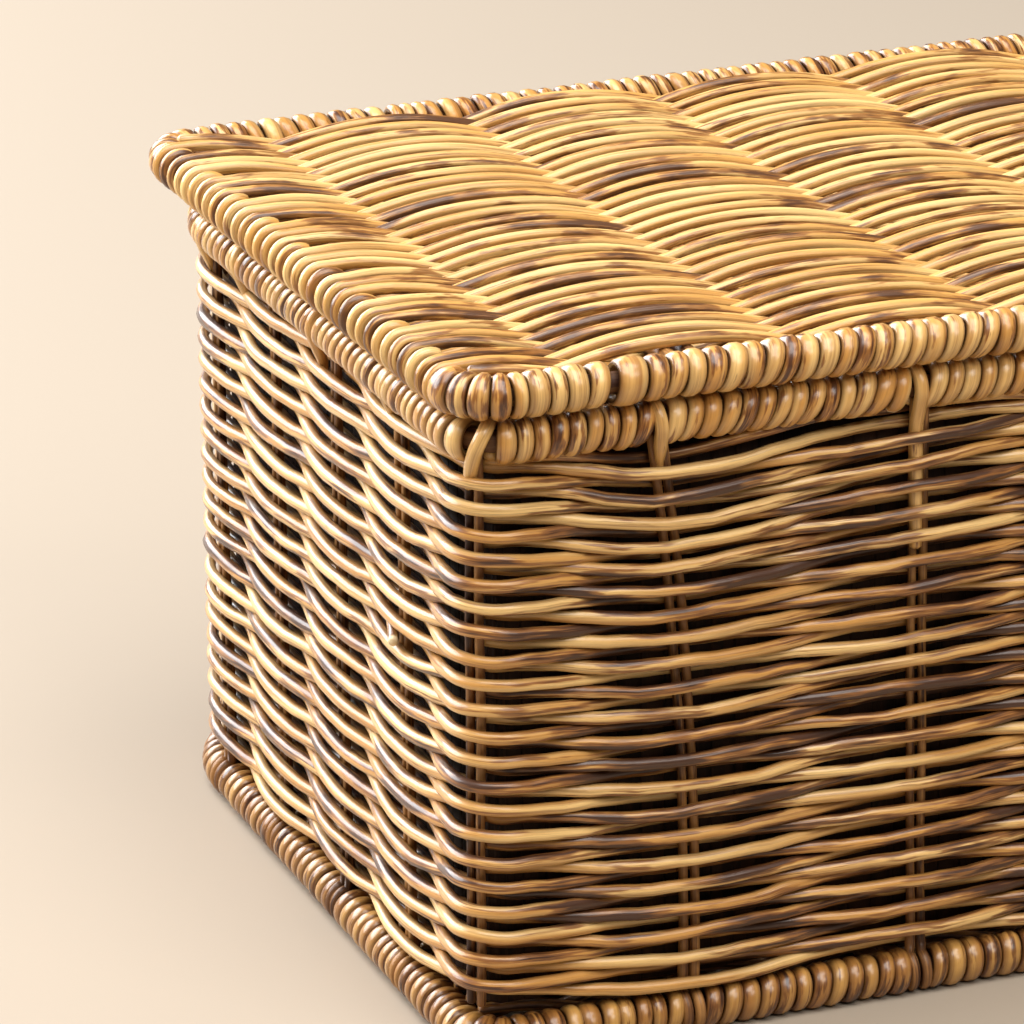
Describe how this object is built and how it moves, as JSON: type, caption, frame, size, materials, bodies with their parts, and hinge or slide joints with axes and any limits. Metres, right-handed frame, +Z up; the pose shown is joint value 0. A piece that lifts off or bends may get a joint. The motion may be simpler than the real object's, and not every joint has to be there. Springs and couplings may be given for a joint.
{
  "type": "woven lidded box",
  "caption": "Low rectangular storage box woven from round rattan cane, with wrapped rims, rounded back corners and a flat woven lid that turns on cane loops along its back edge.",
  "frame": {"origin": "on the surface the box stands on, under the middle of its outside in plan", "axes": "+Z up, +X along the box's length to the right as seen from the front, +Y from the front to the hinged back"},
  "size_m": [0.394, 0.274, 0.2],
  "materials": {
    "weave": "round rattan cane, smoked in patches from golden tan to dark brown, clear gloss lacquer",
    "wrap": "golden tan rattan cane with dark brown patches, clear gloss lacquer",
    "stake": "brown rattan cane, satin lacquer",
    "core": "bare bent rattan pole, satin"
  },
  "bodies": {
    "box": {"wall_weave": "weave", "base_weave": "weave", "base_hoop_wrap": "wrap", "top_hoop_wrap": "wrap", "top_hoop_wrap_back": "wrap", "hinge_loop_left": "wrap", "hinge_loop_right": "wrap", "corner_stake_1": "stake", "corner_stake_2": "stake", "front_stake_1": "stake", "front_stake_2": "stake", "front_stake_3": "stake", "front_stake_4": "stake", "front_stake_5": "stake", "left_stake_1": "stake", "left_stake_2": "stake", "left_stake_3": "stake", "left_stake_4": "stake", "right_stake_1": "stake", "right_stake_2": "stake", "right_stake_3": "stake", "right_stake_4": "stake", "back_stake_1": "stake", "back_stake_2": "stake", "back_stake_3": "stake", "back_stake_4": "stake", "back_stake_5": "stake", "back_stake_6": "stake", "back_stake_7": "stake", "base_cross_rod_1": "stake", "base_cross_rod_2": "stake", "base_cross_rod_3": "stake", "base_cross_rod_4": "stake", "base_cross_rod_5": "stake", "base_hoop_core": "core", "top_hoop_core": "core"},
    "lid": {"lid_weave": "weave", "lid_hoop_wrap": "wrap", "lid_hoop_wrap_back": "wrap", "lid_cross_rod_1": "stake", "lid_cross_rod_2": "stake", "lid_cross_rod_3": "stake", "lid_cross_rod_4": "stake", "lid_cross_rod_5": "stake", "lid_hoop_core": "core"}
  },
  "joints": [
    {"name": "lid_hinge", "type": "hinge", "parent": "box", "child": "lid", "pos_m": [0, 0.1305, 0.19291], "axis": [-1, 0, 0], "range_deg": [0, 180]}
  ]
}
